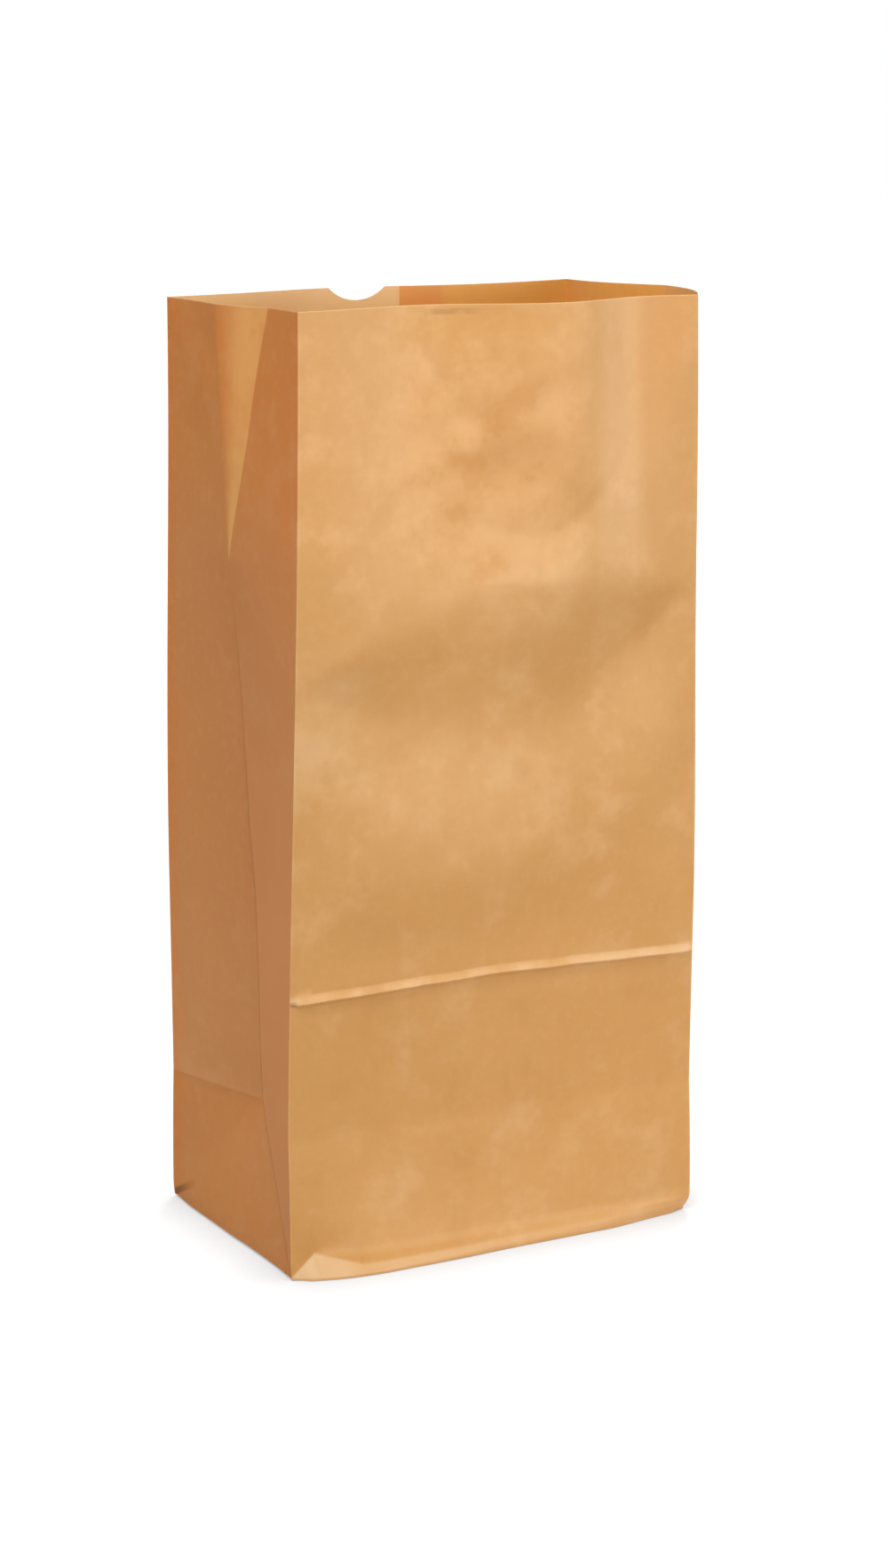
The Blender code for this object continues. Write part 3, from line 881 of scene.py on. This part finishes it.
def kraftPaper():
    paper = Finish("kraftPaper")
    ramp = paper.ramp
    solid = paper.node("ShaderNodeTexCoord")[3]
    sheet = paper.node("ShaderNodeUVMap", {"uv_map": "sheetPlace"})[0]
    inside = paper.node("ShaderNodeAttribute", {"attribute_name": "inside"})[2]
    u, v = paper.node("ShaderNodeSeparateXYZ", {}, {"Vector": sheet})[:2]

    def noiseAt(where, name):
        scale, detail, rough = paperNoise[name]
        settings = {"Vector": where, "Scale": scale, "Detail": detail, "Roughness": rough}
        return paper.node("ShaderNodeTexNoise", {}, settings)[0]

    def farFrom(place):
        return paper.node("ShaderNodeVectorMath", {"operation": "DISTANCE"}, {0: solid, 1: place})[1]

    def size(value):
        return paper.maths("ABSOLUTE", value)

    def least(first, second):
        return paper.maths("MINIMUM", first, second)

    def most(first, second):
        return paper.maths("MAXIMUM", first, second)

    def line(distance, half):
        return ramp(size(distance), half, half * 0.3)

    def band(value, name):
        lower, upper = markBands[name]
        return ramp(value, *lower) * ramp(value, *upper)

    def past(value, edge, soft=0.0002):
        return ramp(value, edge - soft, edge + soft)

    # the panels of the sheet
    width, depth, height = bag["width"], bag["depth"], bag["height"]
    front = past(-1 * u, -width) * past(v, 0)
    rightGusset = past(u, width) * past(-1 * u, -width - depth)
    rear = past(u, width + depth) * past(-1 * u, -2 * width - depth)
    leftGusset = past(u, 2 * width + depth)
    gussets = leftGusset + rightGusset
    towardsRear = leftGusset * (2 * width + 1.5 * depth - u) + rightGusset * (u - width - halfDepth)
    rearHalf = gussets * past(towardsRear, 0)

    cloud, patch, grain, speck = (noiseAt(solid, name) for name in ("cloud", "patch", "grain", "speck"))
    streaked = paper.node("ShaderNodeVectorMath", {"operation": "MULTIPLY"}, {0: sheet, 1: fibreScale})[0]
    fibre = noiseAt(streaked, "fibre")
    uneven = ramp(patch, *noiseRange["uneven"])

    # marks lie over each other in this order: how much shows where, and its colour
    mottle = cloud * mottleMix["cloud"] + patch * mottleMix["patch"]
    lessMottled = shows["mottleLessOnGussets"] * gussets + shows["mottleLessOnRear"] * rear
    mottled = shows["mottle"] * (1 - lessMottled)
    marks = [
        (leftGusset * ramp(towardsRear, *markReach["gussetEdge"]) * shows["gussetEdge"], "gussetEdge"),
        # painted light: inside, the paper is painted warmer and brighter, as where light comes through it
        (inside * shows["insideTone"], "insideTone"),
        (ramp(mottle, *noiseRange["mottlePale"]) * mottled, "pale"),
        (ramp(mottle, *noiseRange["mottleDeep"]) * mottled, "deep"),
        (ramp(grain, *noiseRange["grainPale"]) * shows["grain"], "pale"),
        (ramp(grain, *noiseRange["grainDeep"]) * shows["grain"], "deep"),
        (ramp(fibre, *noiseRange["fibreDark"]) * shows["fibreDark"], "fleckAndShade"),
        (ramp(fibre, *noiseRange["fibrePale"]) * shows["fibrePale"], "pale"),
    ]

    # seen from inside, the rear panel is painted warmer, as light coming through it, and paler beyond the
    # edge of the lap, as painted light; painted shade in the inside corner at the front right fold, and
    # painted light on the front half of the right gusset inside
    pastLap = rear * past(u, width + depth + halfWidth - glue["lapEdge"])
    marks += [
        (inside * rear * shows["insideRear"], "insideRear"),
        (inside * pastLap, "insideLap"),
        (inside * line(u - width, markLines["insideFold"]) * shows["insideFold"], "fleckAndShade"),
        (inside * rightGusset * past(-1 * towardsRear, 0) * shows["insideGusset"], "pale"),
    ]

    # the flat facet below the rim catches the light
    share = (v - facet["tip"]) / (height - facet["tip"])
    across = (towardsRear - share * facet["front"]) / most(share * (facet["rear"] - facet["front"]), 0.0001)
    onFacet = past(across, 0, facetMark["rearEdge"]) * ramp(across, *facetMark["fade"])
    onFacet = onFacet * past(share, 0, facetMark["tipEdge"])
    onFacet = onFacet * leftGusset * (1 - inside)
    marks.append((onFacet * ramp(patch, *noiseRange["facet"]), "facetTone"))

    # painted paler in spots, the last of them painted light where the paper faces down; darker where the
    # sheet was handled; and painted shade and painted light in stripes where the rim bends back at the right
    for place, reach, strength in paleSpots:
        near = ramp(farFrom(place), reach, reach * 0.2) * front
        marks.append((near * ramp(patch, *noiseRange["paleSpots"]) * strength, "pale"))
    near = ramp(farFrom(handled["place"]), *markReach["handled"]) * front
    marks.append((near * ramp(patch, *noiseRange["handled"]) * shows["handled"], "deep"))
    upper = ramp(v, *markReach["upperFront"]) * front
    for place, half, strength, colour in rimShadingStripes:
        marks.append((upper * line(u - place * width, half) * strength, colour))

    # level creases: painted highlight and wear along the top and painted shade under them; painted shade of
    # a dent at the front crease's left end, and on the gussets' rear half below the rear crease
    rise = v - frontFold["height"]
    nickShade = line(rise, markLines["nickHeight"]) * line(u - frontFold["nickShade"], markLines["nickLength"])
    backRise = v - apexHeight
    backFold = rear + rearHalf * shows["backFoldOnGussets"]
    marks += [
        (band(rise, "foldHighlightAndWear") * front * uneven * shows["foldHighlightAndWear"], "wearAndHighlight"),
        (band(rise, "foldShade") * front * shows["foldShade"], "fleckAndShade"),
        (nickShade * front * shows["foldNickShade"], "fleckAndShade"),
        (rearHalf * ramp(backRise, *markReach["backTone"]) * shows["backTone"], "gussetTop"),
        (band(backRise, "backHighlightAndWear") * backFold * uneven * shows["backHighlightAndWear"], "wearAndHighlight"),
        (band(backRise, "backShade") * backFold * shows["backShade"], "fleckAndShade"),
    ]

    # upright folds, with painted highlight and wear, and the folds of the gussets, with painted shade;
    # painted light on the lower front of the gussets, which turns from the lamps, and above the rear crease
    # on their rear half
    corner = u
    for fold in (width, width + depth, 2 * width + depth, 2 * width + 2 * depth):
        corner = least(corner, size(u - fold))
    middle = line(towardsRear, markLines["gussetFold"])
    middle = middle * past(v, apexHeight) * ramp(v, *markReach["middleFold"])
    ahead = v - towardsRear - halfDepth
    diagonal = line(ahead * math.sqrt(0.5), markLines["gussetFold"])
    diagonal = diagonal * past(-1 * v, -apexHeight) * past(-1 * towardsRear, 0)
    aheadOfFold = past(least(ahead, -1 * towardsRear), 0)
    cornerWornAndLit = ramp(corner, *markReach["cornerHighlightAndWear"]) * past(v, cornerPaleFrom) * uneven
    marks += [
        (cornerWornAndLit * shows["cornerHighlightAndWear"], "wearAndHighlight"),
        (gussets * (middle + diagonal) * shows["gussetFolds"], "fleckAndShade"),
        (gussets * aheadOfFold * ramp(v, *markReach["gussetFront"]), "gussetFront"),
        (rearHalf * past(v, apexHeight) * ramp(v, *markReach["gussetRear"]) * shows["gussetRear"], "pale"),
    ]

    # painted highlight along the foot of the front panel, and painted shade in the tucked rear corner
    footTop = most(footMark["lowest"], footMark["peak"] - (u - footMark["peakPlace"]) * footMark["slope"])
    footTop = least(u * pinch["slope"], footTop)
    footShows = footMark["overall"]
    for start, full, strength in footMark["nearCorner"]:
        footShows = footShows + strength * ramp(u, start, full)
    tuckHeight = (halfDepth - towardsRear) * tuckMark["slope"] + tuckMark["start"]
    tucked = line(v - tuckHeight, markLines["tuck"])
    tucked = tucked * leftGusset * ramp(towardsRear, *markReach["tuck"])
    gussetFoot = leftGusset * ramp(v, *markReach["gussetFoot"]) * ramp(patch, *noiseRange["gussetFoot"])
    belowRim = height - v
    smudge = band(belowRim, "smudgeHeight") * band(u, "smudgeLength") * ramp(grain, *noiseRange["smudge"])
    marks += [
        (front * past(footTop - v, 0, footMark["edge"]) * footShows * shows["footHighlight"], "wearAndHighlight"),
        (tucked * shows["tuck"], "tuckShade"),
        (gussetFoot * shows["gussetFoot"], "gussetTop"),
        (ramp(belowRim, *markReach["rimWear"]) * shows["rimWear"], "wearAndHighlight"),
        (smudge * shows["rimSmudge"], "smudge"),
    ]

    # the sheet's tones, with the gussets painted redder as shade, the panels brighter towards the bottom and
    # the gussets darker towards the top; and the marks over them
    panelTone = paper.tint(ramp(v, *markReach["lowTone"]), kraft["lowTone"], kraft["tone"])
    gussetShadeTone = paper.tint(ramp(v, *markReach["gussetTop"]), kraft["gussetShadeTone"], kraft["gussetTop"])
    base = paper.tint(gussets, panelTone, gussetShadeTone)
    for mask, colour in marks:
        base = paper.tint(mask, base, kraft[colour])
    paper.set("Base Color", base)
    rough = paperRoughness["panels"] + gussets * (paperRoughness["gussets"] - paperRoughness["panels"])
    paper.set("Roughness", rough + (patch - 0.5) * paperRoughness["uneven"])
    for name, value in throughout.items():
        paper.set(name, value)
    bumps = fibre * bumpMix["fibre"] + speck * bumpMix["speck"] + patch * bumpMix["patch"]
    paper.set("Normal", paper.node("ShaderNodeBump", {}, {**paperBump, "Height": bumps})[0])
    print("paper:", len(marks), "marks,", len(paper.tree.nodes), "nodes")
    return paper.material


# the floor looks white, a little less so beside the bag, where it stands and in its shadow
floorLook = {
    "colour": (0.55, 0.55, 0.55, 1),
    "roughness": 0.9,
    "fade": (0.25, 1.6, 0.88, 0.97),  # from the bag outwards: two distances, and how white it is there
    "contactReach": 0.020,
    "contactSamples": 12,
    "contactShade": 0.66,
    "shadowed": (0.20, 0.20, 0.20, 1),
    "halfSize": 60.0,
    "gap": 0.0002,
}


def floorFinish():
    finish = Finish("studioFloor")
    finish.set("Base Color", floorLook["colour"])
    finish.set("Roughness", floorLook["roughness"])
    finish.set("Specular IOR Level", 0.0)
    path = finish.node("ShaderNodeLightPath")
    camera, glossy, transmission = path[0], path[3], path[6]
    seen = finish.maths("MAXIMUM", finish.maths("MAXIMUM", camera, glossy), transmission)
    place = finish.node("ShaderNodeTexCoord")[3]
    far = finish.node("ShaderNodeVectorMath", {"operation": "LENGTH"}, {0: place})[1]
    lit = finish.ramp(far, *floorLook["fade"])
    samples, distance = {"samples": floorLook["contactSamples"]}, {"Distance": floorLook["contactReach"]}
    free = finish.node("ShaderNodeAmbientOcclusion", samples, distance)[1]
    shade = floorLook["contactShade"]
    bright = finish.tint(lit * (1 - shade + shade * free), (0, 0, 0, 1), (1, 1, 1, 1))
    glow = finish.node("ShaderNodeEmission", {}, {"Color": bright, "Strength": 1.0})[0]
    matt = finish.node("ShaderNodeBsdfDiffuse", {}, {"Color": floorLook["shadowed"]})[0]
    backdrop = finish.node("ShaderNodeAddShader", {}, {0: glow, 1: matt})[0]
    plain = Wire(finish, finish.shader.outputs[0])
    mixed = finish.node("ShaderNodeMixShader", {}, {0: seen, 1: plain, 2: backdrop})[0]
    finish.feed(finish.tree.nodes["Material Output"].inputs[0], mixed)
    return finish.material


def makeFloor():
    bm = bmesh.new()
    level = Matrix.Translation((0, 0, -floorLook["gap"]))
    bmesh.ops.create_grid(bm, x_segments=1, y_segments=1, size=floorLook["halfSize"], matrix=level)
    floor = asObject(bm, "studioFloor")
    floor.data.materials.append(floorFinish())


# brightness of the studio around the bag, and of the background that is seen
studio = {"around": 0.24, "background": 1.0}


def makeWorld():
    world = bpy.data.worlds.new("studio")
    bpy.context.scene.world = world
    world.use_nodes = True
    tree = world.node_tree
    around = tree.nodes["Background"]
    bright = tree.nodes.new("ShaderNodeBackground")
    for background, strength in ((around, studio["around"]), (bright, studio["background"])):
        background.inputs["Color"].default_value = (1, 1, 1, 1)
        background.inputs["Strength"].default_value = strength
    path = tree.nodes.new("ShaderNodeLightPath")
    seen = path.outputs["Is Camera Ray"]
    for ray in ("Is Glossy Ray", "Is Transmission Ray"):
        either = tree.nodes.new("ShaderNodeMath")
        either.operation = "MAXIMUM"
        tree.links.new(seen, either.inputs[0])
        tree.links.new(path.outputs[ray], either.inputs[1])
        seen = either.outputs[0]
    mix = tree.nodes.new("ShaderNodeMixShader")
    for socket, source in zip(mix.inputs, (seen, around.outputs[0], bright.outputs[0])):
        tree.links.new(source, socket)
    tree.links.new(mix.outputs[0], tree.nodes["World Output"].inputs[0])


# lamps: place, width and height, power in watts
lamps = {
    "topLight": ((-0.77, -0.70, 2.18), (0.7, 0.7), 36.0),
    "sheenLight": ((0.50, -1.10, 0.25), (2.4, 0.22), 10.0),
    "backLight": ((0.80, 1.00, 1.20), (0.5, 0.5), 20.0),  # shines through the paper into the open bag
}
lampAim = (0, 0, 0.13)


def makeLights():
    for name, (place, sides, power) in lamps.items():
        light = bpy.data.lights.new(name, "AREA")
        light.shape = "RECTANGLE"
        light.size, light.size_y = sides
        light.energy = power
        lamp = bpy.data.objects.new(name, light)
        bpy.context.collection.objects.link(lamp)
        lamp.location = place
        lamp.rotation_euler = (Vector(lampAim) - Vector(place)).to_track_quat("-Z", "Y").to_euler()


# the camera looks down on the bag from its front left
view = {
    "azimuth": -27.53,
    "elevation": 12.84,
    "roll": 0.09,
    "distance": 0.950,
    "right": 0.0036,
    "up": -0.0063,
    "focalLength": 3675,  # in pixels of the photograph, as is the height of its frame
    "frameHeight": 1765,
    "sensor": 36,
    "clipStart": 0.01,
}


def makeCamera():
    azimuth, elevation = math.radians(view["azimuth"]), math.radians(view["elevation"])
    level = Vector((math.sin(azimuth), -math.cos(azimuth), 0))
    back = level * math.cos(elevation) + Vector((0, 0, math.sin(elevation)))
    right = Vector((0, 0, 1)).cross(back).normalized()
    up = back.cross(right)
    turned = Matrix((right, up, back)).transposed() @ Matrix.Rotation(math.radians(view["roll"]), 3, "Z")
    place = Vector((0, 0, bag["height"] / 2)) + back * view["distance"]
    place += turned.col[0] * view["right"] + turned.col[1] * view["up"]
    lens = bpy.data.cameras.new("camera")
    lens.sensor_fit = "AUTO"
    lens.sensor_width = view["sensor"]
    lens.lens = view["sensor"] * view["focalLength"] / view["frameHeight"]
    lens.clip_start = view["clipStart"]
    camera = bpy.data.objects.new("camera", lens)
    bpy.context.collection.objects.link(camera)
    camera.matrix_world = Matrix.Translation(place) @ turned.to_4x4()
    bpy.context.scene.camera = camera


makeCamera()
makeWorld()
makeLights()
makeFloor()
print("stage ready")

kraftBag = makeBag()
kraftBag.data.materials.clear()
kraftBag.data.materials.append(kraftPaper())
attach(kraftBag, "root")
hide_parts("paper_bag")

bpy.context.scene.view_settings.view_transform = "Standard"
